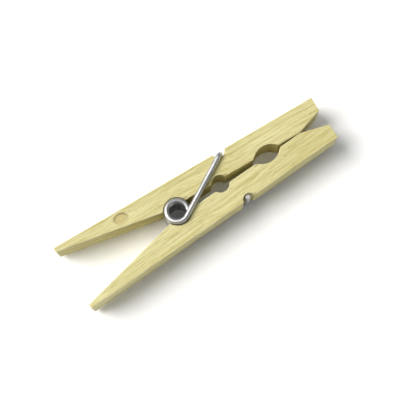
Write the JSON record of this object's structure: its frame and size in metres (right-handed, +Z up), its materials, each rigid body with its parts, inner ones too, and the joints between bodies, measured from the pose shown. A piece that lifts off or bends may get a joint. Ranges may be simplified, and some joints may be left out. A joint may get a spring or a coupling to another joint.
{
  "type": "clothespin",
  "caption": "Wooden spring clothespin whose levers rock on a steel torsion spring; squeezing the tapered handles opens notched jaws that grip cloth or a clothesline.",
  "frame": {"origin": "bottom centre of the closed clothespin's bounding box, lying on its side: on the surface under the lower spring arm, midway between jaw tips and handle ends, on the parting plane of the levers", "axes": "+X towards the jaw tips, +Y towards the moving lever, +Z up along the axis of the spring's coil"},
  "size_m": [0.072, 0.0172, 0.0122],
  "materials": {
    "wood": "bare unsealed light wood, fine straight grain along the lever",
    "spring_steel": "drawn wire with a thin dull zinc coat"
  },
  "bodies": {
    "fixed": {"fixed_lever": "wood", "spring_coil": "spring_steel", "fixed_spring_arm": "spring_steel"},
    "moving": {"moving_lever": "wood", "moving_spring_arm": "spring_steel"}
  },
  "joints": [
    {"name": "lever_pivot", "type": "hinge", "parent": "fixed", "child": "moving", "pos_m": [-0.00645, 0, 0.0061], "axis": [0, 0, 1], "range_deg": [0, 27], "stiffness_Nm_per_rad": 0.2, "springref_deg": -48.7, "deforming": ["spring_coil"]}
  ]
}
